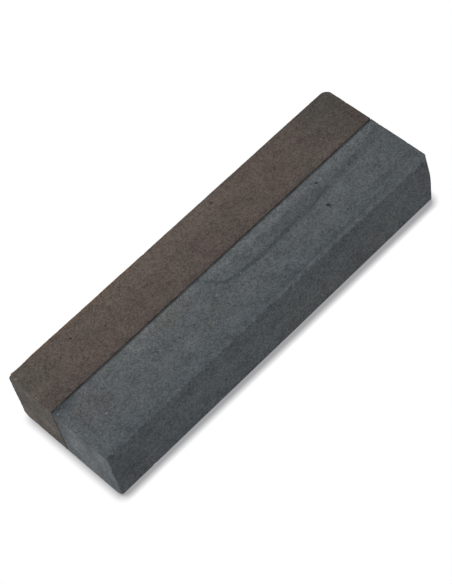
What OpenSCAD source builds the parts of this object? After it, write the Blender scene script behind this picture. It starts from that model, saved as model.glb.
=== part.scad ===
// Combination whetstone: two abrasive blocks glued side by side along their length.
// Millimetres. The stone lies on its base with both grits in its top face.
// +X runs along the length, the brown block is on the +Y side, the blue-grey block on the -Y side.
// The origin is the middle of the base.

/* [Stone] */
// Length of both blocks
stone_l = 150; // [90:1:250]
// Height of both blocks
stone_h = 24.6; // [12:0.1:60]

/* [Blocks] */
// Width of the brown block, from its outer face to the joint
brown_w = 21.2; // [10:0.1:60]
// Width of the blue-grey block, from its outer face to the joint
grey_w = 26.4; // [10:0.1:60]

/* [Joint] */
// Thickness of the adhesive film between the blocks
bond_t = 0.3; // [0.1:0.05:1]
// Depth of the film's rim below the faces around it
bond_recess = 0.4; // [0.1:0.05:1.5]
// Radius that eases the four edges of each block along the joint
joint_edge_r = 0.15; // [0.05:0.05:0.6]

/* [Outer edges] */
// Radius of the outer upright corners at the near end (-X)
near_corner_r = 0.3; // [0.2:0.1:4]
// Radius of the brown block's outer upright corner at the far end (+X)
brown_far_corner_r = 3.1; // [0.2:0.1:6]
// Radius of the blue-grey block's outer upright corner at the far end (+X)
grey_far_corner_r = 2.3; // [0.2:0.1:6]
// Radius of the two long outer edges of the top face
top_edge_r = 0.5; // [0.2:0.1:4]
// Radius of the brown block's long outer edge at the base
brown_base_edge_r = 3.8; // [0.2:0.1:6]
// Radius of the blue-grey block's long outer edge at the base
grey_base_edge_r = 2.2; // [0.2:0.1:6]
// Radius of the short edges round the two end faces
end_edge_r = 0.3; // [0.1:0.1:2]

/* [Hidden] */
$fn = 48;

stone_w = brown_w + bond_t + grey_w;
grey_outer_y = -stone_w / 2;
grey_joint_y = grey_outer_y + grey_w;
brown_joint_y = grey_joint_y + bond_t;

// What an edge of radius r takes away from a square corner at the origin that lies towards +X and +Y
module corner_waste(r) {
    difference() {
        translate([-r, -r]) square(2 * r);
        translate([r, r]) circle(r);
    }
}

// Rectangle from the origin with its own radius at each corner:
// r = [low x low y, high x low y, high x high y, low x high y]
module eased_rectangle(size, r) {
    difference() {
        square(size);
        corner_waste(r[0]);
        translate([size.x, 0]) mirror([1, 0]) corner_waste(r[1]);
        translate([size.x, size.y]) rotate(180) corner_waste(r[2]);
        translate([0, size.y]) mirror([0, 1]) corner_waste(r[3]);
    }
}

// One abrasive block, with its joint face on y = 0 and its outer face on y = w.
// It is the solid that the block's plan, end view and side view have in common,
// so each of its twelve edges is eased by its own radius.
module abrasive_block(w, base_edge_r, far_corner_r) {
    intersection() {
        translate([-stone_l / 2, 0, 0])
            linear_extrude(stone_h)
                eased_rectangle([stone_l, w], [joint_edge_r, joint_edge_r, far_corner_r, near_corner_r]);
        translate([-stone_l / 2, 0, 0])
            rotate([90, 0, 90])
                linear_extrude(stone_l)
                    eased_rectangle([w, stone_h], [joint_edge_r, base_edge_r, top_edge_r, joint_edge_r]);
        translate([-stone_l / 2, w, 0])
            rotate([90, 0, 0])
                linear_extrude(w)
                    eased_rectangle([stone_l, stone_h], [end_edge_r, end_edge_r, end_edge_r, end_edge_r]);
    }
}

// Brown block, its joint face against the +Y face of the film
module brown_block() {
    color([0.34, 0.31, 0.3])
        translate([0, brown_joint_y, 0])
            abrasive_block(brown_w, brown_base_edge_r, brown_far_corner_r);
}

// Blue-grey block, turned so that its joint face is against the -Y face of the film
module grey_block() {
    color([0.33, 0.35, 0.36])
        translate([0, grey_joint_y, 0])
            mirror([0, 1, 0])
                abrasive_block(grey_w, grey_base_edge_r, grey_far_corner_r);
}

// Cured adhesive film that holds the two joint faces together, set back from every outer face
module bond_film() {
    color([0.09, 0.1, 0.1])
        translate([-stone_l / 2 + bond_recess, grey_joint_y, bond_recess])
            cube([stone_l - 2 * bond_recess, bond_t, stone_h - 2 * bond_recess]);
}

brown_block();
grey_block();
bond_film();
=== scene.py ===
"""Looks of a combination whetstone, built round its packed frame.

Two abrasive blocks lie side by side with a dark adhesive joint between them. Metres, +X along the
length, the brown block on +Y, the blue-grey block on -Y, the base on z = 0.
"""

import math

import bpy
import numpy as np
from bpy.props import FloatProperty, FloatVectorProperty, IntProperty, PointerProperty
from bpy.types import Operator, Panel, PropertyGroup
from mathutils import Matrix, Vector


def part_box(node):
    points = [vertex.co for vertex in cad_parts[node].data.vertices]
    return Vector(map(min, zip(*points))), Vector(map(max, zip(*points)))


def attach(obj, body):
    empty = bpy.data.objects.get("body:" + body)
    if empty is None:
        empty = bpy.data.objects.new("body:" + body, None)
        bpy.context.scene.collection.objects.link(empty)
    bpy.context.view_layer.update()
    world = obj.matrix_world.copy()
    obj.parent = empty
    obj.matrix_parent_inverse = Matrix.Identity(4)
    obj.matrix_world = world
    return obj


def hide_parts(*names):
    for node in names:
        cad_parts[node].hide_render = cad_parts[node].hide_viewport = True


bl_info = {
    "name": "Combination whetstone",
    "version": (1, 0, 0),
    "blender": (4, 5, 0),
    "location": "View3D > Sidebar > Whetstone",
    "description": "Builds a two-grit bench whetstone with worn edges, chips and procedural stone",
    "category": "Object",
}

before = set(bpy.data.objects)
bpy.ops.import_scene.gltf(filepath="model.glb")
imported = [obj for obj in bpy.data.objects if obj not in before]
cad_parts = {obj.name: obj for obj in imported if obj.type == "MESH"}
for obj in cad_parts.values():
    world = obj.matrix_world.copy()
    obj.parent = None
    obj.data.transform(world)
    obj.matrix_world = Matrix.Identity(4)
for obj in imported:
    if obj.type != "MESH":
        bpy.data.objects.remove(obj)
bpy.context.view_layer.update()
BODY = "root"
MM = 0.001
# How far past its ball a bite looks for the outermost surface.
BITE_REACH = 2.0 * MM
# How strongly, and from how far, mesh points are drawn towards a pit.
PIT_PULL, PIT_REACH = 0.72, 2.6 * MM
# Depths of pits, of chips in rows and of scattered chips, as shares of their balls.
PIT_DEPTHS, ROW_DEPTHS, CHIP_DEPTHS = (0.5, 0.8), (0.2, 0.45), (0.12, 0.32)
# How far the wear reaches from an edge, and how far the faces stay true from the joint.
WEAR_REACH, TRUE_REACH = 0.4 * MM, 0.5 * MM
# Lengths of the waves in the faces, in the coarse grit, in a bite's surface and in the wear of the edges.
SWELL_SIZE, GRIT_SIZE, BITE_SIZE, WEAR_SIZES = 34 * MM, 1.1 * MM, 1.0 * MM, (2.4 * MM, 9 * MM)
# Heights, as shares, at which the grey block's far corner has the radii of its base, waist, waist and top.
WAIST = (0.0, 0.46, 0.60, 1.0)
# How far from the end a point still lies on the sawn face, and how wide the change is.
SAWN_DEPTH, SAWN_CHANGE = 0.12 * MM, 0.2 * MM
# Contrast of the grain on the top and on the outer side.
TOP_CONTRAST, SIDE_CONTRAST = 0.74, 0.98
# Depths over which a chip and a pit are darkened with painted shade that deepens with depth, and how dark
# they end.
CHIP_RANGE, CHIP_SHADE = (0.03 * MM, 0.24 * MM), 0.36
PIT_RANGE, PIT_SHADE = (0.03 * MM, 0.20 * MM), 0.85
# Openness to the light at which the contact shadow is darkest, and at which it ends.
CONTACT_RANGE = (0.42, 0.94)
# Patches that reach less than this, in millimetres, are single grains and keep a plain rim.
FLECK_SIZE = 1.5
# How much the tone of each crystal counts next to the noise, and of each noise how much finer than the
# crystals it is and how much it counts.
CRYSTAL_WEIGHT = 0.75
NOISE_SIZES = ((1.3, 1.2), (0.27, 0.55), (0.085, 0.65))
# The vein's course from its start to the far end: share of the length, and distance from the joint as a
# share of VEIN_DEPTH.
VEIN_COURSE = (
    (0.42, 0.0), (0.45, 0.20), (0.49, 0.36), (0.55, 0.40), (0.68, 0.385), (0.81, 0.32), (0.90, 0.26),
    (1.0, 0.13),
)
VEIN_DEPTH = 25 * MM


# ---------------------------------------------------------------- sizes and colours a user would change


def length(name, description, millimetres, low=0.0, high=50.0):
    """A length property, given in millimetres and kept in metres."""
    return FloatProperty(
        name=name, description=description, default=millimetres * MM,
        min=low * MM, max=high * MM, precision=5, unit="LENGTH",
    )


def colour(name, description, rgb):
    """A linear colour property."""
    return FloatVectorProperty(
        name=name, description=description, default=rgb, size=3, min=0.0, max=4.0, subtype="COLOR",
    )


def count(name, description, value):
    """A whole number of things."""
    return IntProperty(name=name, description=description, default=value, min=0, max=400)


def vector(name, description, value, **options):
    """Three numbers."""
    return FloatVectorProperty(name=name, description=description, default=value, **options)


class WhetstoneEdges(PropertyGroup):
    """Radii of the blocks' edges, and how finely the blocks are meshed."""

    near_corner: length("Near corner radius", "Outer upright corner at the near end", 0.2)
    brown_far_corner: length("Brown far corner radius", "Upright corner of the brown block, far end", 3.6)
    grey_far_top: length("Grey far corner, top", "Upright corner of the grey block, far end, top", 3.1)
    grey_far_waist: length("Grey far corner, waist", "The same corner where it is sharpest", 1.2)
    grey_far_base: length("Grey far corner, base", "The same corner at the base", 2.5)
    brown_top_edge: length("Brown top edge radius", "Long outer edge of the brown top face", 0.35)
    grey_top_edge: length("Grey top edge radius", "Long outer edge of the blue-grey top face", 0.4)
    brown_base_edge: length("Brown base edge radius", "Long outer edge under the brown block", 3.8)
    grey_base_near: length("Grey base edge, near", "Long outer edge under the grey block, near end", 1.4)
    grey_base_far: length("Grey base edge, far", "The same edge at the far end", 3.0)
    end_edge: length("End edge radius", "Short edges round the end faces", 0.3)
    joint_edge: length("Joint edge radius", "Edges along the glued joint", 0.28)
    fine_step: length("Fine step", "Mesh spacing next to an edge", 0.14, 0.05, 1.0)
    coarse_step: length("Coarse step", "Mesh spacing in the middle of a face", 0.66, 0.1, 3.0)
    fine_reach: length("Fine reach", "How far from an edge the spacing grows", 5.0, 0.5, 20.0)


class WhetstoneWear(PropertyGroup):
    """How uneven and how chipped the blocks are."""

    swell: length("Swell", "Depth of the slow unevenness of the faces", 0.05, 0.0, 0.5)
    grit: length("Grit", "Depth of the coarse grit that breaks up the outline", 0.02, 0.0, 0.2)
    edge_wear: length("Edge wear", "Most that an edge is worn back", 0.09, 0.0, 1.0)
    chips: count("Chips", "Small chips along the edges of a block", 80)
    chip_ball: length("Chip ball", "Largest radius of the ball that bites a chip", 1.1, 0.1, 5.0)
    pits: count("Pits", "Scattered pits in the faces of a block", 6)
    pit_ball: length("Pit ball", "Radius of the ball that bites a pit", 0.34, 0.1, 3.0)


class BrownStoneLook(PropertyGroup):
    """Colours of the brown stone."""

    purple: colour("Purple-brown", "Main body of the stone", (0.1090, 0.0855, 0.0755))
    olive: colour("Olive-brown", "Clouds in the stone", (0.0960, 0.0840, 0.0715))
    tan: colour("Tan", "Lighter stretch along the outer top edge", (0.1350, 0.1060, 0.0900))
    # Laid on as a painted highlight in a thin line right at the outer top edge, and as a faint warm patch on
    # the top.
    warm_tone_and_highlight: colour("Rust", "Warm stain right at the outer top edge", (0.1420, 0.0900, 0.0600))
    shade: colour("Shade", "Darker stone at both ends of the top", (0.0820, 0.0665, 0.0600))
    dusk: colour("Dusk", "Dark olive stone at the outer far corner", (0.0800, 0.0735, 0.0645))
    sawn: colour("Sawn end", "Smooth sawn end face", (0.0852, 0.0764, 0.0656))
    fleck: colour("Fleck", "Pale grains", (0.34, 0.26, 0.23))
    dark: colour("Dark grain", "Pores and dark grains", (0.034, 0.027, 0.023))


class GreyStoneLook(PropertyGroup):
    """Colours of the blue-grey stone."""

    light: colour("Light slate", "Pale beds", (0.1080, 0.1210, 0.1288))
    slate: colour("Slate", "Main body of the stone", (0.0975, 0.1100, 0.1180))
    pale: colour("Pale bed", "Palest bed, along the joint", (0.1500, 0.1620, 0.1690))
    cream: colour("Cream", "Warm pale streaks near the joint", (0.1600, 0.1630, 0.1500))
    blue: colour("Blue slate", "Bluer stone towards the outer edge", (0.0835, 0.0985, 0.1120))
    olive: colour("Olive slate", "Clouds in the stone", (0.1030, 0.1095, 0.1060))
    mauve: colour("Mauve slate", "Warm patch at the near end of the joint", (0.1040, 0.1030, 0.1060))
    # The vein colour is also laid on as painted shade: a band under the outer top edge of the side, and a
    # band along the chipped top edge of the near end face.
    vein: colour("Vein", "Dark bedding vein", (0.0540, 0.0640, 0.0740))
    sawn: colour("Sawn end", "Smooth sawn end face", (0.1110, 0.1236, 0.1312))
    fleck: colour("Fleck", "Pale grains", (0.33, 0.37, 0.40))
    dark: colour("Dark grain", "Pores and dark grains", (0.028, 0.032, 0.035))


class JointLook(PropertyGroup):
    """Shape and colour of the adhesive film."""

    film: colour("Adhesive", "Cured adhesive", (0.034, 0.036, 0.037))
    meniscus: length("Meniscus", "How much deeper the film's rim is in its middle", 0.10, 0.0, 0.5)
    waviness: length("Waviness", "How much the rim's depth wanders", 0.10, 0.0, 0.5)


class StudioLook(PropertyGroup):
    """Floor, lights and camera."""

    floor: colour("Floor", "Floor as the stone sees it", (0.80, 0.80, 0.80))
    contact: colour("Contact shadow", "Floor right under the stone's edge", (0.36, 0.36, 0.37))
    contact_reach: length("Contact reach", "How far the contact shadow reaches", 3.6, 0.5, 50.0)
    contact_lean: vector(
        "Contact lean", "Where the light that makes the contact shadow comes from", (0.04, 0.44, 0.89),
        subtype="DIRECTION",
    )
    sky: FloatProperty(
        name="Sky", description="Strength of the even light from all round",
        default=0.55, min=0.0, max=3.0, subtype="FACTOR",
    )
    key_power: FloatProperty(
        name="Key power", description="Power of the key light", default=5.2, min=0.0, unit="POWER",
    )
    key_size: length("Key size", "Side of the key light", 550.0, 10.0, 2000.0)
    key_from: vector("Key from", "Where the key light stands", (-0.78, 0.06, 0.72), unit="LENGTH")
    camera_at: vector("Camera at", "Camera position", (-0.1997, -0.3175, 0.5436), unit="LENGTH")
    camera_turn: vector(
        "Camera turn", "Camera rotation, XYZ Euler",
        (math.radians(34.01), math.radians(9.0), math.radians(-45.03)), subtype="EULER",
    )
    lens: FloatProperty(
        name="Lens", description="Focal length in millimetres on a 36 mm sensor", default=120.5, min=10.0,
    )


SETTINGS = {
    "whetstone_edges": WhetstoneEdges,
    "whetstone_wear": WhetstoneWear,
    "whetstone_brown": BrownStoneLook,
    "whetstone_grey": GreyStoneLook,
    "whetstone_joint": JointLook,
    "whetstone_studio": StudioLook,
}


# ---------------------------------------------------------------- shapes, as whole arrays


def swell(points, size, rng, waves=28):
    """Smooth unevenness from about -1 to 1: the sum of sine waves of random directions, about size long."""
    turn = rng.normal(size=(waves, 3))
    turn /= np.linalg.norm(turn, axis=1, keepdims=True)
    turn *= (2 * np.pi / size * rng.uniform(0.6, 1.5, waves))[:, None]
    phase = rng.uniform(0, 2 * np.pi, waves)
    return np.sin(points @ turn.T + phase).sum(-1) / math.sqrt(2 * waves)


def hollows(points, size, rng):
    """Smooth unevenness from 0 to 1: swell, cut off at -1 and 1, and halved."""
    return 0.5 + 0.5 * np.clip(swell(points, size, rng), -1, 1)


def graded(span, fine, coarse, reach):
    """Places from 0 to span whose spacing grows smoothly from fine at both ends to coarse beyond reach:
    the inverse of the running sum of one over the spacing."""
    s = np.linspace(0.0, span, 4000)
    near = np.clip(np.minimum(s, span - s) / reach, 0.0, 1.0)
    step = fine + (coarse - fine) * near * near * (3 - 2 * near)
    count = np.concatenate([[0.0], np.cumsum(np.diff(s) * 2 / (step[1:] + step[:-1]))])
    whole = max(2, math.ceil(count[-1]))
    return np.interp(np.linspace(0.0, count[-1], whole + 1), count, s)


def rounded_ring(width, height, radius, edges, arc_steps=6):
    """Closed outline of a rectangle with small rounded corners, anticlockwise from the origin: straight runs
    with graded spacing, joined by quarter circles."""
    corners = np.array([[0, 0], [width, 0], [width, height], [0, height]], float)
    along = np.array([[1, 0], [0, 1], [-1, 0], [0, -1]], float)
    turn = np.linspace(0, np.pi / 2, arc_steps + 1)[1:-1, None]
    runs = []
    for i in range(4):
        onward, inward = along[i], along[(i + 1) % 4]
        side = (width, height)[i % 2]
        s = graded(side - 2 * radius, edges.fine_step, edges.coarse_step, edges.fine_reach)
        runs.append(corners[i] + onward * (radius + s)[:, None])
        start = corners[(i + 1) % 4] - onward * radius
        runs.append(start + radius * (onward * np.sin(turn) + inward * (1 - np.cos(turn))))
    return np.concatenate(runs)


def draw_in(a, b, r):
    """Rounds the corner between two faces: a point whose distances a and b from them lie outside the
    quarter circle of radius r is drawn straight in to it."""
    da, db = r - a, r - b
    reach = np.hypot(da, db)
    outside = (a < r) & (b < r) & (reach > r)
    scale = np.where(outside, r / np.maximum(reach, 1e-12), 1.0)
    return np.where(outside, r - da * scale, a), np.where(outside, r - db * scale, b)


def block_grid(span, width, height, radii, edges):
    """Grid of one block, as x, b (distance from the joint face) and z. A rectangular ring is carried along
    the length, and at both ends it shrinks towards the middle of the end face. Then each edge is rounded by
    drawing the points outside its quarter circle in to it. radii gives each radius as a function of the
    grid, so that an edge may be rounder at one end than at the other."""
    ring = rounded_ring(width, height, edges.joint_edge, edges)
    middle = np.array([width / 2, height / 2])
    body = graded(span, edges.fine_step, edges.coarse_step, edges.fine_reach) - span / 2
    half = min(width, height) / 2
    depth = graded(2 * half, edges.fine_step, 1.5 * edges.coarse_step, edges.fine_reach)
    shrink = 1 - depth[(depth > 0) & (depth < 0.97 * half)] / half
    x = np.concatenate([np.full(len(shrink), -span / 2), body, np.full(len(shrink), span / 2)])
    k = np.concatenate([shrink[::-1], np.ones(len(body)), shrink])
    section = middle + (ring - middle) * k[:, None, None]
    x = np.repeat(x[:, None], len(ring), 1)
    b, z = section[..., 0], section[..., 1]

    to_outer, z = draw_in(width - b, z, radii["base"](x / span + 0.5))
    to_outer, to_top = draw_in(to_outer, height - z, radii["top"])
    z = height - to_top
    to_near, to_outer = draw_in(x + span / 2, to_outer, edges.near_corner)
    to_far, to_outer = draw_in(span - to_near, to_outer, radii["far"](z / height))
    b, x = width - to_outer, span / 2 - to_far
    for end in (-1, 1):
        to_end, b = draw_in(span / 2 - end * x, b, edges.joint_edge)
        to_end, z = draw_in(to_end, z, edges.end_edge)
        to_end, to_top = draw_in(to_end, height - z, edges.end_edge)
        x, z = end * (span / 2 - to_end), height - to_top
    return np.stack([x, b, z], -1)


def grid_normals(grid):
    """Outward unit normals of a closed ring grid: the cross product of the central differences round the
    ring and along the rings."""
    around = np.roll(grid, -1, 1) - np.roll(grid, 1, 1)
    along = np.gradient(grid, axis=0)
    normal = np.cross(around, along)
    size = np.linalg.norm(normal, axis=-1, keepdims=True)
    return normal / np.maximum(size, 1e-15)


def bite(grid, place, out, radius, depth, uneven):
    """A chip or a pit: a ball is sunk to this depth below the surface that lies furthest out near place, and
    every point inside the ball is moved straight out from its middle to the ball's surface, which is uneven
    by about a third of the depth."""
    away = grid - place
    near = np.linalg.norm(away, axis=-1) < radius + BITE_REACH
    if not near.any():
        return grid
    surface = (away[near] @ out).max()
    centre = place + out * (surface + radius - depth)
    away = grid[near] - centre
    reach = np.linalg.norm(away, axis=-1)
    ball = radius + 0.35 * depth * uneven[near]
    scale = np.where(reach < ball, ball / np.maximum(reach, 1e-12), 1.0)
    bitten = grid.copy()
    bitten[near] = centre + away * scale[:, None]
    return bitten


def gather(grid, place, out, reach):
    """Draws the points within reach of a place on a face towards it, along the face, so that a pit has
    enough of them: a point's distance is scaled by 1 - pull at the place, rising smoothly to 1 at reach."""
    away = grid - place
    rise = np.clip(1 - (np.linalg.norm(away, axis=-1) / reach) ** 2, 0, 1) ** 2
    along_face = away - (away @ out)[..., None] * out
    return grid - PIT_PULL * rise[..., None] * along_face


def edge_places(rng, count, span, width, height):
    """Random places on a block's twelve edges, each with the direction that points straight out of it."""
    half, w, h = span / 2, width, height
    t = rng.uniform(0, 1, count)
    kind = rng.choice(3, count, p=(0.5, 0.32, 0.18))
    s = rng.choice((-1.0, 1.0), (count, 2))
    x_edge = np.stack([(t - 0.5) * span, w * (s[:, 0] > 0), h * (s[:, 1] > 0)], -1)
    b_edge = np.stack([half * s[:, 0], t * w, h * (s[:, 1] > 0)], -1)
    z_edge = np.stack([half * s[:, 0], w * (s[:, 1] > 0), t * h], -1)
    zero = np.zeros(count)
    x_out = np.stack([zero, s[:, 0], s[:, 1]], -1)
    b_out = np.stack([s[:, 0], zero, s[:, 1]], -1)
    z_out = np.stack([s[:, 0], s[:, 1], zero], -1)
    pick = kind[:, None]
    place = np.where(pick == 0, x_edge, np.where(pick == 1, b_edge, z_edge))
    out = np.where(pick == 0, x_out, np.where(pick == 1, b_out, z_out)) / math.sqrt(2)
    return place, out


def face_places(rng, count, span, width, height):
    """Random places on a block's long faces, each with the face's outward direction."""
    face = rng.choice(3, count, p=(0.4, 0.35, 0.25))
    x = rng.uniform(-0.46, 0.46, count) * span
    b = rng.uniform(0.14, 0.82, count) * width
    z = rng.uniform(0.2, 0.85, count) * height
    pick = face[:, None]
    top = np.stack([x, b, np.full(count, height)], -1)
    side = np.stack([x, np.full(count, width), z], -1)
    base = np.stack([x, b, np.zeros(count)], -1)
    place = np.where(pick == 0, top, np.where(pick == 1, side, base))
    out = np.array([[0, 0, 1], [0, 1, 0], [0, 0, -1]], float)[face]
    return place, out


def shaped_block(node, seed, radii, own_chips):
    """Worn surface of one block, in the row's frame: the rounded grid, worn back at its edges, made uneven,
    and bitten by pits, by its own chips and by small random ones. Everything is taken away and nothing is
    added, so the block stays in its box. Returns the grid, and what its points carry: how deep in a pit and
    in a chip they are, and whether they lie on a sawn end."""
    scene = bpy.context.scene
    edges, wear = scene.whetstone_edges, scene.whetstone_wear
    low, high = (np.array(c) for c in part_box(node))
    span, width, height = high - low
    outward = 1.0 if node == "brown_block" else -1.0
    joint_y = low[1] if outward > 0 else high[1]
    rng = np.random.default_rng(seed)
    chips, rows, pits = own_chips(span, width, height)

    grid = block_grid(span, width, height, radii, edges)
    places, outs = face_places(rng, wear.pits, span, width, height)
    sizes = wear.pit_ball * rng.uniform(0.5, 1.3, wear.pits)
    pits = [(place, out, ball * MM) for place, out, ball in pits]
    pits.extend(zip(places, outs, sizes))
    for place, out, radius in pits:
        grid = gather(grid, place, out, PIT_REACH)

    normal = grid_normals(grid)
    halves = np.array([span / 2, width / 2, height / 2])
    from_face = halves - np.abs(grid - np.array([0.0, width / 2, height / 2]))
    edge_distance = np.sort(from_face, -1)[..., 1]
    near_edge = np.exp(-np.clip(edge_distance, 0, None) / WEAR_REACH)
    at_joint = np.exp(-np.clip(grid[..., 1], 0, None) / TRUE_REACH)
    quick, slow = (swell(grid, size, rng) for size in WEAR_SIZES)
    worn = np.clip(0.22 + 0.5 * quick + 0.4 * slow, 0, 1)
    sink = wear.swell * hollows(grid, SWELL_SIZE, rng) * (1 - at_joint)
    sink = sink + wear.edge_wear * near_edge * worn * (1 - 0.6 * at_joint)
    sink = sink + wear.grit * hollows(grid, GRIT_SIZE, rng) * (1 - at_joint)
    smooth = grid - normal * sink[..., None]

    uneven = swell(grid, BITE_SIZE, rng)
    bitten = smooth
    for place, out, radius in pits:
        bitten = bite(bitten, place, out, radius, radius * rng.uniform(*PIT_DEPTHS), uneven)
    pitted = bitten
    for place, out, radius, depth in chips:
        bitten = bite(bitten, place, out, radius * MM, depth * MM, uneven)
    for start, end, out, count, ball in rows:
        for t, share_of_ball in zip(rng.uniform(0, 1, count), rng.uniform(0.45, 1.0, count)):
            radius = ball * MM * share_of_ball
            place = start + (end - start) * t
            bitten = bite(bitten, place, out, radius, radius * rng.uniform(*ROW_DEPTHS), uneven)
    places, outs = edge_places(rng, wear.chips, span, width, height)
    for place, out, luck in zip(places, outs, rng.uniform(0.3, 1.0, wear.chips)):
        radius = wear.chip_ball * luck ** 1.6
        bitten = bite(bitten, place, out, radius, radius * rng.uniform(*CHIP_DEPTHS), uneven)
    bitten = np.clip(bitten, [-span / 2, 0, 0], [span / 2, width, height])

    from_end = span / 2 - np.abs(bitten[..., 0])
    values = {
        "pitted": np.linalg.norm(pitted - smooth, axis=-1),
        "chipped": np.linalg.norm(bitten - pitted, axis=-1),
        "sawn": 1 - np.clip((from_end - SAWN_DEPTH) / SAWN_CHANGE, 0, 1),
    }
    placed = np.stack([
        bitten[..., 0] + (low[0] + high[0]) / 2,
        joint_y + outward * bitten[..., 1],
        bitten[..., 2] + low[2],
    ], -1)
    if outward > 0:
        return placed, values
    return placed[:, ::-1], {key: value[:, ::-1] for key, value in values.items()}


def unit(*direction):
    """The direction, one long."""
    v = np.array(direction, float)
    return v / np.linalg.norm(v)


def spot(x, b, z):
    """A place on a block, in millimetres: from the middle of the length, from the joint face, and up."""
    return np.array([x, b, z]) * MM


TOP, NEAR_TOP, NEAR_OUTER = unit(0, 0, 1), unit(-1, 0, 1), unit(-1, 1, 0)
OUTER_TOP, OUTER_BASE = unit(0, 1, 1), unit(0, 1, -1)


def places_on(span, width, height):
    """A function that gives a place on a block by its shares of the length, from the near end, of the width,
    from the joint, and of the height."""
    def at(along, across, up):
        return np.array([(along - 0.5) * span, across * width, up * height])
    return at


def brown_chips(span, width, height):
    """What the brown block has lost: single chips as place, way out, ball radius and depth; rows of small
    chips as start, end, way out, count and largest ball; and pits as place, way out and ball radius. The
    radii and depths are in millimetres."""
    at = places_on(span, width, height)
    corner = at(0, 1, 1)
    chips = [
        (corner, unit(-1, 0.9, 0.8), 14, 0.90),
        (corner, unit(-0.3, 0.9, 0.9), 14, 0.15),
        (corner + spot(4, 0, 0), OUTER_TOP, 60, 0.34),
        (at(0, 0.50, 1), NEAR_TOP, 1.0, 0.32),
        (at(0, 0.24, 1), NEAR_TOP, 0.9, 0.26),
        (at(0, 0.7, 0), unit(-1, 0, -1), 1.6, 0.35),
    ]
    rows = [
        (at(0, 0, 1), corner, NEAR_TOP, 22, 0.5),
        (at(0, 0, 1), at(0, 0.4, 1), NEAR_TOP, 10, 0.6),
        (corner, at(1, 1, 1), OUTER_TOP, 16, 0.36),
    ]
    pits = [(spot(-52, 15.5, height / MM), TOP, 0.55)]
    return chips, rows, pits


def grey_chips(span, width, height):
    """What the blue-grey block has lost, in the same form as for the brown block."""
    at = places_on(span, width, height)
    corner = at(0, 1, 1)
    chips = [
        (at(0.49, 1, 1), OUTER_TOP, 1.1, 0.45),
        (at(0.72, 1, 1), OUTER_TOP, 1.4, 0.32),
        (corner, unit(-1, 1, 1), 1.5, 0.55),
        (corner + spot(1.6, 0, 0), OUTER_TOP, 1.0, 0.45),
        (at(0, 0.90, 1), NEAR_TOP, 1.1, 0.36),
        (at(0, 0.42, 1), NEAR_TOP, 1.0, 0.32),
        (at(0, 1, 0), unit(-1, 1, -1), 3.2, 1.05),
        (at(0.10, 1, 0), OUTER_BASE, 2.4, 0.50),
        (at(0.30, 1, 0), OUTER_BASE, 3.0, 0.25),
        (at(0.845, 1, 0), OUTER_BASE, 2.3, 0.60),
        (at(0.955, 1, 0), OUTER_BASE, 1.6, 0.45),
        (at(1, 1, 0.93), unit(1, 1, 0.5), 4.0, 0.30),
    ]
    rows = [
        (at(0, 0, 1), corner, NEAR_TOP, 46, 0.62),
        (corner, at(0, 1, 0), NEAR_OUTER, 26, 0.5),
        (corner, at(1, 1, 1), OUTER_TOP, 32, 0.75),
        (at(0, 1, 0), at(1, 1, 0), OUTER_BASE, 40, 1.3),
        (at(1, 0, 1), at(1, 1, 1), unit(1, 0, 1), 12, 0.36),
    ]
    top = height / MM
    pits = [
        (spot(39.3, 13.4, top), TOP, 0.66),
        (spot(43.5, 3.8, top), TOP, 0.52),
        (spot(66.0, 16.1, top), TOP, 0.40),
        (spot(-1.4, 13.6, top), TOP, 0.42),
        (spot(12.0, 20.2, top), TOP, 0.42),
        (spot(-29.0, 12.0, top), TOP, 0.34),
        (spot(-25.3, width / MM, 9.0), unit(0, 1, 0), 0.55),
    ]
    return chips, rows, pits


def film_grid(span, height, thickness, joint):
    """Grid of the adhesive film, as x, y across the joint and z. A ring round the joint's outline is
    carried across its thickness with a hollow rim, and shrinks to the middle of both flat faces. k is how
    much of its full height the ring has at each step, and on the rim it is as deep along x as along z."""
    rng = np.random.default_rng(31)
    ring = rounded_ring(span, height, MM, bpy.context.scene.whetstone_edges)
    centred = ring - np.array([span / 2, height / 2])
    across = np.linspace(-1, 1, 9)
    hollow = joint.meniscus * (1 - across ** 2)
    flat = np.array([0.03, 0.35, 0.7, 0.93])
    flat_point = np.concatenate([centred, np.zeros((len(ring), 1))], -1)
    wander = joint.waviness * hollows(flat_point, 5 * MM, rng)
    inset = (hollow[:, None] + wander) / (height / 2)
    k = np.concatenate([
        np.repeat(flat[:, None], len(ring), 1),
        1 - inset,
        np.repeat(flat[::-1, None], len(ring), 1),
    ])
    y = np.concatenate([np.full(len(flat), -1.0), across, np.full(len(flat), 1.0)]) * thickness / 2
    rim = slice(len(flat), len(flat) + len(across))
    x = centred[:, 0] * k
    x[rim] = np.sign(centred[:, 0]) * (np.abs(centred[:, 0]) - (1 - k[rim]) * height / 2)
    z = centred[:, 1] * k
    return np.stack([x, np.repeat(y[:, None], len(ring), 1), z], -1)


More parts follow.
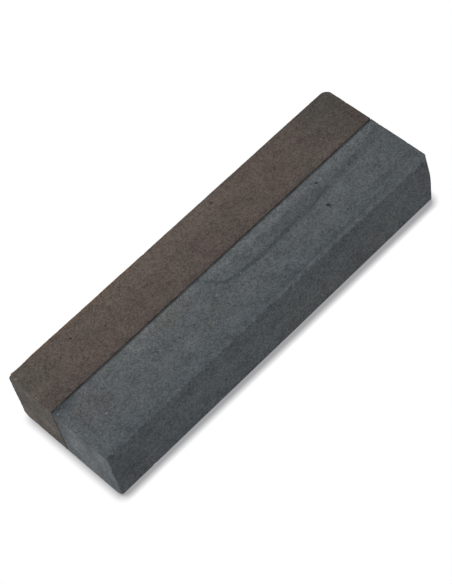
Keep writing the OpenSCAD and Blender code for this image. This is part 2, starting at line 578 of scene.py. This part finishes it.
def closed_mesh(name, grid, values):
    """A mesh from a grid of closed rings, with quads between the rings and a fan to a point at each end.
    Each array in values becomes a number on every point. Raises if the surface is inside out."""
    rings, around = grid.shape[:2]
    index = np.arange(rings * around).reshape(rings, around)
    after = np.roll(index, -1, 1)
    quads = np.stack([index[:-1], after[:-1], after[1:], index[1:]], -1).reshape(-1, 4)
    first, last = rings * around, rings * around + 1
    start = np.stack([np.full(around, first), after[0], index[0]], -1)
    finish = np.stack([np.full(around, last), index[-1], after[-1]], -1)
    points = np.concatenate([grid.reshape(-1, 3), [grid[0].mean(0), grid[-1].mean(0)]])

    triangles = np.concatenate([quads[:, [0, 1, 2]], quads[:, [0, 2, 3]], start, finish])
    a, b, c = (points[triangles[:, i]] for i in range(3))
    if np.einsum("ij,ij->i", a, np.cross(b, c)).sum() <= 0:
        raise RuntimeError(f"{name} is inside out")

    corners = np.concatenate([quads.ravel(), start.ravel(), finish.ravel()]).astype(np.int32)
    counts = np.concatenate([np.full(len(quads), 4), np.full(2 * around, 3)])
    mesh = bpy.data.meshes.new(name)
    mesh.vertices.add(len(points))
    mesh.vertices.foreach_set("co", points.astype(np.float32).ravel())
    mesh.loops.add(len(corners))
    mesh.loops.foreach_set("vertex_index", corners)
    mesh.polygons.add(len(counts))
    starts = np.concatenate([[0], np.cumsum(counts)[:-1]]).astype(np.int32)
    mesh.polygons.foreach_set("loop_start", starts)
    mesh.polygons.foreach_set("use_smooth", np.ones(len(counts), bool))
    mesh.update(calc_edges=True)
    for key, value in values.items():
        whole = np.concatenate([value.ravel(), [value[0].mean(), value[-1].mean()]])
        mesh.attributes.new(key, "FLOAT", "POINT").data.foreach_set("value", whole.astype(np.float32))
    return mesh


def place_piece(name, mesh, material, node):
    """Puts a finished piece in the scene, on its body, in place of its CAD node."""
    mesh.materials.append(material)
    piece = bpy.data.objects.new(name, mesh)
    bpy.context.scene.collection.objects.link(piece)
    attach(piece, BODY)
    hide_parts(node)


# ---------------------------------------------------------------- materials


class Tree:
    """Short words for building a node tree."""

    def __init__(self, tree):
        self.tree = tree

    def node(self, kind, inputs=None, **settings):
        """A new node with its settings, and its inputs set to a value or linked from a socket."""
        made = self.tree.nodes.new(kind)
        for key, value in settings.items():
            setattr(made, key, value)
        for key, value in (inputs or {}).items():
            self.feed(made.inputs[key], value)
        return made

    def feed(self, socket, value):
        """Links a socket, or sets its value."""
        if isinstance(value, bpy.types.NodeSocket):
            self.tree.links.new(value, socket)
        else:
            socket.default_value = value

    def maths(self, operation, *values, clamp=False):
        """The result of a Math node."""
        made = self.node("ShaderNodeMath", operation=operation, use_clamp=clamp)
        for socket, value in zip(made.inputs, values):
            self.feed(socket, value)
        return made.outputs[0]

    def ramp(self, value, low, high, to_low=0.0, to_high=1.0):
        """value taken smoothly from the range low to high into to_low to to_high."""
        return self.node(
            "ShaderNodeMapRange",
            {"Value": value, "From Min": low, "From Max": high, "To Min": to_low, "To Max": to_high},
            interpolation_type="SMOOTHSTEP",
        ).outputs["Result"]

    def mix(self, factor, a, b, blend="MIX"):
        """Two colours mixed."""
        made = self.node("ShaderNodeMix", data_type="RGBA", blend_type=blend)
        sockets = (made.inputs[0], made.inputs[6], made.inputs[7])
        for socket, value in zip(sockets, (factor, a, b)):
            self.feed(socket, value)
        return made.outputs[2]

    def noise(self, place, scale, detail):
        """A Noise Texture node."""
        return self.node("ShaderNodeTexNoise", {"Vector": place, "Scale": scale, "Detail": detail})

    def vector(self, operation, a, b):
        """The Vector Math node of two vectors."""
        return self.node("ShaderNodeVectorMath", {0: a, 1: b}, operation=operation)

    def tint(self, base, over, mask, amount):
        """One colour laid over another, by a mask times an amount."""
        return self.mix(self.maths("MULTIPLY", mask, amount), base, over)

    def group(self, group, **inputs):
        """A node group, with its inputs by name; an underscore stands for a space."""
        made = self.tree.nodes.new("ShaderNodeGroup")
        made.node_tree = group
        for key, value in inputs.items():
            self.feed(made.inputs[key.replace("_", " ")], value)
        return made


FLOAT, VECTOR, COLOUR = "NodeSocketFloat", "NodeSocketVector", "NodeSocketColor"


def shared_group(name, inputs, outputs):
    """Turns a function that fills a node group into one that gives the group, which is made and filled the
    first time. inputs map a name to a socket kind and a default, and outputs map a name to a socket kind."""
    def wrap(fill):
        def give():
            if name in bpy.data.node_groups:
                return bpy.data.node_groups[name]
            group = bpy.data.node_groups.new(name, "ShaderNodeTree")
            for key, (kind, default) in inputs.items():
                socket = group.interface.new_socket(key, in_out="INPUT", socket_type=kind)
                if default is not None:
                    socket.default_value = default
            for key, kind in outputs.items():
                group.interface.new_socket(key, in_out="OUTPUT", socket_type=kind)
            given = group.nodes.new("NodeGroupInput").outputs
            gives = group.nodes.new("NodeGroupOutput").inputs
            fill(Tree(group), given, gives)
            return group
        return give
    return wrap


@shared_group(
    "Stone grain",
    {"Position": (VECTOR, None), "Grain": (FLOAT, 0.0006), "Contrast": (FLOAT, 0.3)},
    {"Tone": COLOUR, "Height": FLOAT},
)
def stone_grain(tree, given, gives):
    """Sintered grit: crystals that each have their own tone, on smooth noise of three sizes. Tone is near
    white and multiplies a colour."""
    place = given["Position"]
    scale = tree.maths("DIVIDE", 1.0, given["Grain"])
    crystal = tree.node("ShaderNodeTexVoronoi", {"Vector": place, "Scale": scale})
    luck = tree.node("ShaderNodeSeparateColor", {"Color": crystal.outputs["Color"]})
    total = tree.maths("MULTIPLY_ADD", luck.outputs[0], CRYSTAL_WEIGHT, -CRYSTAL_WEIGHT / 2)
    fine = None
    for times, weight in NOISE_SIZES:
        size = tree.maths("MULTIPLY", scale, times)
        noise = tree.noise(place, size, 2.0).outputs[0]
        fine = fine or noise
        total = tree.maths("ADD", total, tree.maths("MULTIPLY_ADD", noise, weight, -weight / 2))
    tone = tree.maths("MULTIPLY_ADD", total, given["Contrast"], 1.0)
    tree.feed(gives["Tone"], tree.node("ShaderNodeCombineColor", {i: tone for i in range(3)}).outputs[0])
    tree.feed(gives["Height"], tree.maths("MULTIPLY_ADD", luck.outputs[1], 0.5, fine))


@shared_group(
    "Specks",
    {
        "Position": (VECTOR, None), "Spacing": (FLOAT, 0.003), "Amount": (FLOAT, 0.2),
        "Size": (FLOAT, 0.2),
    },
    {"Mask": FLOAT},
)
def specks(tree, given, gives):
    """Scattered ragged specks, for pores and for pale grains. Only the share Amount of the cells has one."""
    scale = tree.maths("DIVIDE", 1.0, given["Spacing"])
    noise = tree.noise(given["Position"], tree.maths("MULTIPLY", scale, 4.0), 1.0)
    push = tree.vector("SUBTRACT", noise.outputs["Color"], (0.5, 0.5, 0.5))
    reach = tree.maths("MULTIPLY", given["Spacing"], 0.5)
    push = tree.node("ShaderNodeVectorMath", {0: push.outputs[0], "Scale": reach}, operation="SCALE")
    ragged = tree.vector("ADD", given["Position"], push.outputs[0])
    cell = tree.node("ShaderNodeTexVoronoi", {"Vector": ragged.outputs[0], "Scale": scale})
    luck = tree.node("ShaderNodeSeparateColor", {"Color": cell.outputs["Color"]})
    chosen = tree.maths("LESS_THAN", luck.outputs[0], given["Amount"])
    size = tree.maths("MULTIPLY", given["Size"], tree.maths("MULTIPLY_ADD", luck.outputs[1], 1.0, 0.4))
    rim = tree.maths("MULTIPLY", size, 0.5)
    speck = tree.ramp(cell.outputs["Distance"], rim, size, 1.0, 0.0)
    tree.feed(gives["Mask"], tree.maths("MULTIPLY", speck, chosen))


@shared_group(
    "Clouds",
    {"Position": (VECTOR, None), "Size": (FLOAT, 0.015), "Softness": (FLOAT, 0.15)},
    {"Mask": FLOAT},
)
def clouds(tree, given, gives):
    """Slow mottling. Mask runs from 0 to 1, half of it on each side of the middle."""
    noise = tree.noise(given["Position"], tree.maths("DIVIDE", 1.0, given["Size"]), 3.0)
    low = tree.maths("SUBTRACT", 0.5, given["Softness"])
    high = tree.maths("ADD", 0.5, given["Softness"])
    tree.feed(gives["Mask"], tree.ramp(noise.outputs[0], low, high))


@shared_group(
    "Soft patch",
    {
        "Position": (VECTOR, None), "Centre": (VECTOR, None), "Radii": (VECTOR, (0.01, 0.01, 0.01)),
        "Wander": (FLOAT, 0.0),
    },
    {"Mask": FLOAT},
)
def soft_patch(tree, given, gives):
    """One soft oval patch: 1 in the middle, 0 outside. Wander shifts its rim."""
    away = tree.vector("SUBTRACT", given["Position"], given["Centre"])
    scaled = tree.vector("DIVIDE", away.outputs[0], given["Radii"])
    reach = tree.node("ShaderNodeVectorMath", {0: scaled.outputs[0]}, operation="LENGTH")
    wandered = tree.maths("ADD", reach.outputs["Value"], given["Wander"])
    tree.feed(gives["Mask"], tree.ramp(wandered, 0.3, 1.15, 1.0, 0.0))


@shared_group(
    "Stone surface",
    {
        "Position": (VECTOR, None), "Body": (COLOUR, None), "Sawn colour": (COLOUR, None),
        "Dark": (COLOUR, None), "Fleck": (COLOUR, None), "Chipped": (FLOAT, 0.0), "Sawn": (FLOAT, 0.0),
        "Pitted": (FLOAT, 0.0), "Seam": (FLOAT, 1.0), "Stain": (FLOAT, 0.0005), "Grain": (FLOAT, 0.0006),
        "Contrast": (FLOAT, 0.5), "Pores": (FLOAT, 0.3), "Flecks": (FLOAT, 0.05),
    },
    {"Colour": COLOUR, "Roughness": FLOAT, "Height": FLOAT},
)
def stone_surface(tree, given, gives):
    """What both stones share, put on a body colour: grain, pores, pale grains, painted shade in chips and
    pits that deepens with their depth, the sawn end's colour and adhesive soaked in along the seam. Chipped,
    Pitted and Sawn come from the piece, Seam is the distance from the joint face, and Stain is how far the
    adhesive has soaked in."""
    place = given["Position"]
    coarser = tree.maths("MULTIPLY_ADD", given["Sawn"], 0.45, 1.0)
    grain = tree.group(
        stone_grain(), Position=place, Grain=given["Grain"],
        Contrast=tree.maths("MULTIPLY", given["Contrast"], coarser),
    )
    few = tree.maths("MULTIPLY", given["Pores"], 0.35)
    large = tree.group(specks(), Position=place, Spacing=0.0052, Amount=few, Size=0.11)
    small = tree.group(specks(), Position=place, Spacing=0.0013, Amount=given["Pores"], Size=0.24)
    pale = tree.group(specks(), Position=place, Spacing=0.0014, Amount=given["Flecks"], Size=0.20)
    soft_small = tree.maths("MULTIPLY", small.outputs[0], 0.55)
    pores = tree.maths("MAXIMUM", large.outputs[0], soft_small)

    mottle = tree.group(clouds(), Position=place, Size=0.0060, Softness=0.2)
    mottled = tree.tint(given["Sawn colour"], given["Dark"], mottle.outputs[0], 0.20)
    colour_in = tree.mix(given["Sawn"], given["Body"], mottled)
    grained = tree.mix(1.0, colour_in, grain.outputs["Tone"], "MULTIPLY")
    # Chips and pits darken with their depth: painted shade in the hollows.
    chipped = tree.ramp(given["Chipped"], *CHIP_RANGE, 0.0, CHIP_SHADE)
    pitted = tree.ramp(given["Pitted"], *PIT_RANGE, 0.0, PIT_SHADE)
    shaded_in_hollows = tree.mix(tree.maths("MAXIMUM", chipped, pitted), grained, given["Dark"])
    pored = tree.tint(shaded_in_hollows, given["Dark"], pores, 0.8)
    flecked = tree.tint(pored, given["Fleck"], pale.outputs[0], 0.30)
    noise = tree.noise(place, 700.0, 3.0)
    soaked = tree.maths("ADD", given["Seam"], tree.maths("MULTIPLY_ADD", noise.outputs[0], 0.0005, -0.00025))
    core = tree.maths("MULTIPLY", given["Stain"], 0.3)
    stain = tree.ramp(soaked, core, given["Stain"], 0.80, 0.0)
    tree.feed(gives["Colour"], tree.mix(stain, flecked, given["Dark"]))
    rough = tree.maths("MULTIPLY_ADD", given["Sawn"], -0.12, 0.88)
    tree.feed(gives["Roughness"], tree.maths("MULTIPLY_ADD", pale.outputs[0], -0.25, rough, clamp=True))
    tree.feed(gives["Height"], tree.maths("MULTIPLY_ADD", pores, -1.4, grain.outputs["Height"]))


def new_material(name):
    """An empty node material, with its Principled BSDF wired to the output."""
    material = bpy.data.materials.new(name)
    material.use_nodes = True
    material.node_tree.nodes.clear()
    tree = Tree(material.node_tree)
    shader = tree.node("ShaderNodeBsdfPrincipled")
    tree.node("ShaderNodeOutputMaterial", {"Surface": shader.outputs[0]})
    return material, tree, shader


def rgba(rgb):
    """A colour with full alpha."""
    return (*rgb, 1.0)


def finish_stone(tree, shader, place, body, sawn, look, joint_y, width, **grit):
    """Puts the shared stone surface between the colours of a block's body and of its sawn ends and the
    shader. The outer side, past the block's width, shows its grain more. grit holds the stain, grain, pores
    and flecks."""
    apart = tree.node("ShaderNodeSeparateXYZ", {0: place})
    from_joint = tree.maths("ABSOLUTE", tree.maths("SUBTRACT", apart.outputs[1], joint_y))
    surface = tree.group(
        stone_surface(), Position=place, Body=body, Sawn_colour=sawn, Dark=rgba(look.dark),
        Fleck=rgba(look.fleck), Seam=from_joint,
        Contrast=tree.ramp(from_joint, width - 0.5 * MM, width - 0.2 * MM, TOP_CONTRAST, SIDE_CONTRAST),
        Chipped=tree.node("ShaderNodeAttribute", attribute_name="chipped").outputs["Fac"],
        Pitted=tree.node("ShaderNodeAttribute", attribute_name="pitted").outputs["Fac"],
        Sawn=tree.node("ShaderNodeAttribute", attribute_name="sawn").outputs["Fac"],
        **grit,
    )
    bump = tree.node(
        "ShaderNodeBump",
        {"Strength": 0.6, "Distance": 0.00022, "Height": surface.outputs["Height"]},
    )
    tree.feed(shader.inputs["Base Color"], surface.outputs["Colour"])
    tree.feed(shader.inputs["Roughness"], surface.outputs["Roughness"])
    tree.feed(shader.inputs["Normal"], bump.outputs[0])
    shader.inputs["Specular IOR Level"].default_value = 0.28


def tinted(tree, place, body, corner, side, patches):
    """Lays soft patches of other colours over a body colour. Each is given in millimetres by its middle, as
    along from the near end, away from the joint and down from the top, and by its reach in the same three
    directions, and then by its colour and strength."""
    noise = tree.noise(place, 260.0, 2.0)
    wander = tree.maths("MULTIPLY_ADD", noise.outputs[0], 0.8, -0.4)
    for (along, from_joint, down), reach, tint, amount in patches:
        centre = (corner[0] + along * MM, corner[1] + side * from_joint * MM, corner[2] - down * MM)
        patch = tree.group(
            soft_patch(), Position=place, Centre=centre, Radii=tuple(r * MM for r in reach),
            Wander=0.0 if max(reach) < FLECK_SIZE else wander,
        )
        body = tree.tint(body, rgba(tint), patch.outputs[0], amount)
    return body


def brown_stone():
    """Brown stone: purple-brown with olive clouds, lighter along the outer top edge with a painted highlight
    right at the edge, darker at both ends.
    """
    look = bpy.context.scene.whetstone_brown
    low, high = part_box("brown_block")
    material, tree, shader = new_material("Brown stone")
    place = tree.node("ShaderNodeTexCoord").outputs["Object"]
    cloud = tree.group(clouds(), Position=place, Size=0.014, Softness=0.14)
    body = tree.tint(rgba(look.purple), rgba(look.olive), cloud.outputs[0], 0.72)
    corner = (low.x, low.y, high.z)
    body = tinted(tree, place, body, corner, 1, (
        ((56, 18, 0), (50, 8, 20), look.tan, 0.80),
        ((95, 17, 0), (34, 4.5, 9), look.tan, 0.50),
        # Painted highlight: a thin warm line right at the outer top edge.
        ((34, 21, 0), (46, 1.4, 2), look.warm_tone_and_highlight, 0.80),
        ((38, 8, 0), (22, 6, 12), look.warm_tone_and_highlight, 0.16),
        ((3, 16, 0), (12, 7, 20), look.olive, 0.70),
        ((4, 2, 0), (18, 6, 20), look.shade, 0.70),
        ((76, 7, 0), (10, 5, 12), look.shade, 0.25),
        ((148, 17, 0), (19, 9, 20), look.dusk, 0.80),
        ((149, 7, 0), (10, 14, 20), look.shade, 0.80),
        ((75, 0.2, 0), (95, 1.9, 3), look.shade, 0.60),
        ((0.9, 18.2, 0), (0.6, 0.45, 1), look.fleck, 0.45),
        ((0.6, 7.6, 0), (0.45, 0.4, 1), look.fleck, 0.55),
        ((0.5, 6.6, 0), (0.35, 0.3, 1), look.fleck, 0.40),
    ))
    uneven = tree.group(clouds(), Position=place, Size=0.0034, Softness=0.2)
    sawn = tree.tint(rgba(look.sawn), rgba(look.dark), uneven.outputs[0], 0.17)
    sawn = tinted(tree, place, sawn, corner, 1, (
        ((0, 12, 2.4), (3, 2.6, 2.8), look.fleck, 0.16),
        ((0, 3, 3), (3, 5, 6), look.shade, 0.55),
        ((0, 19.5, 14), (3, 2.5, 6), look.dark, 0.20),
        ((0, 9, 9), (3, 4, 6), look.dark, 0.24),
        ((0, 17, 20), (3, 5, 5), look.tan, 0.80),
        ((0, 6, 16), (3, 5, 5), look.tan, 0.60),
    ))
    finish_stone(
        tree, shader, place, body, sawn, look, low.y, high.y - low.y,
        Stain=0.02 * MM, Grain=0.48 * MM, Pores=0.34, Flecks=0.10,
    )
    return material


def bedding_vein(tree, place, joint_y, low_x, high_x):
    """Dark bedding vein: a thin broken sheet that leaves the joint before mid-length, runs along the middle
    of the block, and comes back towards the joint at the far end, where it is broader and fainter."""
    apart = tree.node("ShaderNodeSeparateXYZ", {0: place})
    along = tree.node(
        "ShaderNodeMapRange",
        {"Value": apart.outputs[0], "From Min": low_x, "From Max": high_x},
    ).outputs["Result"]
    course = tree.node("ShaderNodeFloatCurve", {"Value": along})
    curve = course.mapping.curves[0]
    for share_along, depth in VEIN_COURSE[:-1]:
        curve.points.new(share_along, depth)
    curve.points[0].location = (0.0, 0.0)
    curve.points[-1].location = VEIN_COURSE[-1]
    course.mapping.update()
    depth = tree.maths("MULTIPLY", course.outputs[0], VEIN_DEPTH)
    noise = tree.noise(place, 130.0, 4.0)
    wander = tree.maths("MULTIPLY_ADD", noise.outputs[0], 0.0024, -0.0012)
    from_joint = tree.maths("SUBTRACT", joint_y, apart.outputs[1])
    off = tree.maths("ABSOLUTE", tree.maths("ADD", tree.maths("SUBTRACT", from_joint, depth), wander))
    start = VEIN_COURSE[0][0]
    started = tree.ramp(along, start - 0.01, start + 0.04)
    width = tree.ramp(along, 0.62, 0.95, 0.0015, 0.0026)
    faded = tree.ramp(along, 0.68, 0.95, 0.85, 0.42)
    broken = tree.group(clouds(), Position=place, Size=0.005, Softness=0.18)
    strength = tree.maths("MULTIPLY_ADD", broken.outputs[0], 0.3, 0.7)
    line = tree.maths("MULTIPLY", tree.ramp(off, 0.0001, width, faded, 0.0), strength)
    return tree.maths("MULTIPLY", line, started)


def grey_stone():
    """Blue-grey stone: pale and dark beds along the length, bluer towards the outer edge, olive clouds, and
    a dark vein."""
    look = bpy.context.scene.whetstone_grey
    low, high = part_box("grey_block")
    material, tree, shader = new_material("Blue-grey stone")
    place = tree.node("ShaderNodeTexCoord").outputs["Object"]
    drawn_out = tree.node("ShaderNodeMapping", {"Vector": place, "Scale": (0.35, 1.0, 0.6)}).outputs[0]
    beds = tree.group(clouds(), Position=drawn_out, Size=0.008, Softness=0.18)
    body = tree.mix(beds.outputs[0], rgba(look.slate), rgba(look.light))
    cloud = tree.group(clouds(), Position=place, Size=0.017, Softness=0.12)
    body = tree.tint(body, rgba(look.olive), cloud.outputs[0], 0.5)
    corner = (low.x, high.y, high.z)
    body = tinted(tree, place, body, corner, -1, (
        ((75, 24, 0), (95, 7, 14), look.blue, 0.64),
        ((46, 5, 0), (34, 8, 20), look.light, 0.60),
        ((84, 1.6, 0), (74, 3.2, 6), look.pale, 0.62),
        ((104, 2.6, 0), (30, 3.0, 6), look.pale, 0.25),
        ((42, 3, 0), (20, 4.5, 8), look.cream, 0.32),
        ((17, 3.4, 0), (17, 4.5, 8), look.cream, 0.15),
        ((137, 2, 0), (14, 4.5, 6), look.pale, 0.60),
        ((133, 9.5, 0), (10, 2.6, 6), look.pale, 0.30),
        ((67, 3, 0), (5, 5, 8), look.slate, 0.60),
        ((108, 6.4, 0), (18, 2.8, 8), look.vein, 0.30),
        ((10, 9, 0), (9, 7, 9), look.mauve, 0.70),
        ((16, 2.5, 0), (1.6, 4, 4), look.vein, 0.30),
        ((2, 0.4, 0), (10, 4.0, 6), look.vein, 0.85),
        ((50, 4, 0), (12, 4, 8), look.olive, 0.60),
        ((57, 14, 0), (6, 4, 6), look.olive, 0.70),
        ((115, 14, 0), (30, 7, 10), look.light, 0.62),
        # Painted shade: a darker band along the top of the outer side, just under the rounded edge.
        ((75, 27.4, 2.2), (100, 2.0, 5), look.vein, 0.17),
        ((150, 27.4, 12), (16, 2.5, 18), look.vein, 0.14),
        ((60, 21, 0), (14, 3, 5), look.light, 0.50),
        ((32, 19, 0), (9, 7, 9), look.vein, 0.10),
        ((138, 20.2, 0), (15, 1.7, 6), look.vein, 0.34),
        ((148, 17, 0), (6, 8, 14), look.vein, 0.18),
        ((12, 24.9, 0), (24, 1.5, 3), look.vein, 0.38),
        ((98, 23.9, 0), (46, 1.1, 2), look.vein, 0.26),
        ((120, 25.2, 0), (36, 0.9, 1.2), look.light, 0.70),
        ((4, 29.5, 8), (32, 5, 26), look.vein, 0.85),
        ((1.1, 2.1, 0), (0.5, 0.4, 1), look.fleck, 0.45),
        ((11.5, 13.9, 0), (0.5, 0.4, 1), look.fleck, 0.50),
    ))
    sawn = tinted(tree, place, rgba(look.sawn), corner, -1, (
        ((0, 1.2, 10), (3, 2.6, 20), look.vein, 0.38),
        ((0, 2.8, 3.5), (3, 4, 6), look.vein, 0.42),
        ((0, 9, 10), (3, 4.5, 14), look.pale, 0.58),
        ((0, 16, 2.5), (3, 2.4, 5), look.vein, 0.42),
        ((0, 21.5, 8), (3, 3.5, 7), look.pale, 0.38),
        ((0, 24.5, 19), (3, 3, 5), look.vein, 0.42),
        # Painted shade in the chips along the top edge of the end face, laid on as a dark band.
        ((0, 13, 0), (3, 20, 0.8), look.vein, 0.60),
    ))
    vein = bedding_vein(tree, place, high.y, low.x, high.x)
    body = tree.mix(vein, body, rgba(look.vein))
    finish_stone(
        tree, shader, place, body, sawn, look, high.y, high.y - low.y,
        Stain=0.95 * MM, Grain=0.46 * MM, Pores=0.36, Flecks=0.08,
    )
    return material


def adhesive():
    """Cured dark adhesive, dusted in patches by the stone's own slurry."""
    look = bpy.context.scene.whetstone_joint
    material, tree, shader = new_material("Dark adhesive")
    place = tree.node("ShaderNodeTexCoord").outputs["Object"]
    dust = tree.group(clouds(), Position=place, Size=0.0035, Softness=0.12)
    dusty = tuple(min(1.0, 4.0 * c) for c in look.film)
    tree.feed(shader.inputs["Base Color"], tree.mix(dust.outputs[0], rgba(look.film), rgba(dusty)))
    tree.feed(shader.inputs["Roughness"], tree.ramp(dust.outputs[0], 0.0, 1.0, 0.45, 0.8))
    noise = tree.noise(place, 900.0, 2.0)
    bump = tree.node("ShaderNodeBump", {"Strength": 0.3, "Distance": 0.0001, "Height": noise.outputs[0]})
    tree.feed(shader.inputs["Normal"], bump.outputs[0])
    return material


# ---------------------------------------------------------------- operators


class BuildBrownBlock(Operator):
    """Builds the brown abrasive block"""

    bl_idname = "whetstone.build_brown_block"
    bl_label = "Brown block"

    def execute(self, context):
        edges = context.scene.whetstone_edges
        radii = {
            "base": lambda along: edges.brown_base_edge,
            "top": edges.brown_top_edge,
            "far": lambda up: edges.brown_far_corner,
        }
        grid, values = shaped_block("brown_block", 11, radii, brown_chips)
        mesh = closed_mesh("brown_stone_block", grid, values)
        place_piece("brown_stone_block", mesh, brown_stone(), "brown_block")
        return {"FINISHED"}


class BuildGreyBlock(Operator):
    """Builds the blue-grey abrasive block"""

    bl_idname = "whetstone.build_grey_block"
    bl_label = "Blue-grey block"

    def execute(self, context):
        edges = context.scene.whetstone_edges
        waist = edges.grey_far_waist
        radii = {
            "base": lambda along: np.interp(along, (0, 1), (edges.grey_base_near, edges.grey_base_far)),
            "top": edges.grey_top_edge,
            "far": lambda up: np.interp(up, WAIST, (edges.grey_far_base, waist, waist, edges.grey_far_top)),
        }
        grid, values = shaped_block("grey_block", 23, radii, grey_chips)
        mesh = closed_mesh("grey_stone_block", grid, values)
        place_piece("grey_stone_block", mesh, grey_stone(), "grey_block")
        return {"FINISHED"}


class BuildBondFilm(Operator):
    """Builds the adhesive film between the blocks"""

    bl_idname = "whetstone.build_bond_film"
    bl_label = "Adhesive film"

    def execute(self, context):
        low, high = (np.array(c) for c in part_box("bond_film"))
        span, thickness, height = high - low
        grid = film_grid(span, height, thickness, context.scene.whetstone_joint) + (low + high) / 2
        # The ring turns from +X to +Z, so the faces point outwards when the rings go towards -Y.
        mesh = closed_mesh("adhesive_film", grid[::-1], {})
        place_piece("adhesive_film", mesh, adhesive(), "bond_film")
        return {"FINISHED"}


class BuildStudio(Operator):
    """Builds the floor, the lights and the camera"""

    bl_idname = "whetstone.build_studio"
    bl_label = "Studio"

    def execute(self, context):
        scene, look = context.scene, context.scene.whetstone_studio
        self.floor(scene, look)
        self.lights(scene, look)
        self.camera(scene, look)
        scene.view_settings.view_transform = "Standard"
        return {"FINISHED"}

    def floor(self, scene, look):
        """A plain sheet that glows like a light table, so that the camera sees it white but for a narrow
        shadow where the stone stands on it. To the stone it is a plain pale floor."""
        half = 3.0
        corners = [(-half, -half, 0), (half, -half, 0), (half, half, 0), (-half, half, 0)]
        mesh = bpy.data.meshes.new("floor")
        mesh.from_pydata(corners, [], [(0, 1, 2, 3)])
        material = bpy.data.materials.new("Floor")
        material.use_nodes = True
        material.node_tree.nodes.clear()
        tree = Tree(material.node_tree)
        lean = tree.node("ShaderNodeCombineXYZ", dict(enumerate(look.contact_lean)))
        open_sky = tree.node(
            "ShaderNodeAmbientOcclusion",
            {"Distance": look.contact_reach, "Normal": lean.outputs[0]}, samples=32,
        ).outputs["AO"]
        lit = tree.node(
            "ShaderNodeMapRange",
            {"Value": open_sky, "From Min": CONTACT_RANGE[0], "From Max": CONTACT_RANGE[1]},
        ).outputs["Result"]
        glow = tree.node("ShaderNodeEmission", {"Color": tree.mix(lit, rgba(look.contact), (1, 1, 1, 1))})
        diffuse = tree.node("ShaderNodeBsdfDiffuse", {"Color": rgba(look.floor)})
        seen = tree.node("ShaderNodeLightPath").outputs["Is Camera Ray"]
        both = tree.node("ShaderNodeMixShader", {0: seen, 1: diffuse.outputs[0], 2: glow.outputs[0]})
        tree.node("ShaderNodeOutputMaterial", {"Surface": both.outputs[0]})
        mesh.materials.append(material)
        floor = bpy.data.objects.new("floor", mesh)
        scene.collection.objects.link(floor)

    def lights(self, scene, look):
        """Even light from all round, and one large soft key light."""
        world = bpy.data.worlds.new("Studio")
        world.use_nodes = True
        world.node_tree.nodes.clear()
        tree = Tree(world.node_tree)
        seen = tree.node("ShaderNodeLightPath").outputs["Is Camera Ray"]
        strength = tree.maths("MULTIPLY_ADD", seen, 1.0 - look.sky, look.sky)
        back = tree.node("ShaderNodeBackground", {"Color": (1, 1, 1, 1), "Strength": strength})
        tree.node("ShaderNodeOutputWorld", {"Surface": back.outputs[0]})
        scene.world = world

        light = bpy.data.lights.new("key", "AREA")
        light.energy = look.key_power
        light.size = look.key_size
        key = bpy.data.objects.new("key", light)
        key.location = look.key_from
        key.rotation_euler = (-key.location).to_track_quat("-Z", "Y").to_euler()
        scene.collection.objects.link(key)

    def camera(self, scene, look):
        """The camera, at the viewing angle."""
        data = bpy.data.cameras.new("camera")
        data.lens = look.lens
        data.sensor_width = 36.0
        data.clip_start, data.clip_end = 0.01, 20.0
        camera = bpy.data.objects.new("camera", data)
        camera.location = look.camera_at
        camera.rotation_euler = look.camera_turn
        scene.collection.objects.link(camera)
        scene.camera = camera


class WHETSTONE_PT_panel(Panel):
    """Lists the steps and the settings."""

    bl_idname = "WHETSTONE_PT_panel"
    bl_label = "Whetstone"
    bl_space_type = "VIEW_3D"
    bl_region_type = "UI"
    bl_category = "Whetstone"

    def draw(self, context):
        for operator in OPERATORS:
            self.layout.operator(operator.bl_idname)
        for key, group in SETTINGS.items():
            box = self.layout.box()
            box.label(text=group.__doc__)
            for name in group.__annotations__:
                box.prop(getattr(context.scene, key), name)


OPERATORS = (BuildStudio, BuildBrownBlock, BuildGreyBlock, BuildBondFilm)
CLASSES = (*SETTINGS.values(), *OPERATORS, WHETSTONE_PT_panel)


def register():
    """Registers the classes and hangs the settings on the scene."""
    for item in CLASSES:
        bpy.utils.register_class(item)
    for key, group in SETTINGS.items():
        setattr(bpy.types.Scene, key, PointerProperty(type=group))


def unregister():
    """Takes away what register added."""
    for key in SETTINGS:
        delattr(bpy.types.Scene, key)
    for item in reversed(CLASSES):
        bpy.utils.unregister_class(item)


def main():
    """Builds everything in order."""
    register()
    bpy.ops.whetstone.build_studio()
    bpy.ops.whetstone.build_brown_block()
    bpy.ops.whetstone.build_grey_block()
    bpy.ops.whetstone.build_bond_film()
    bpy.context.view_layer.update()


if __name__ == "__main__":
    main()
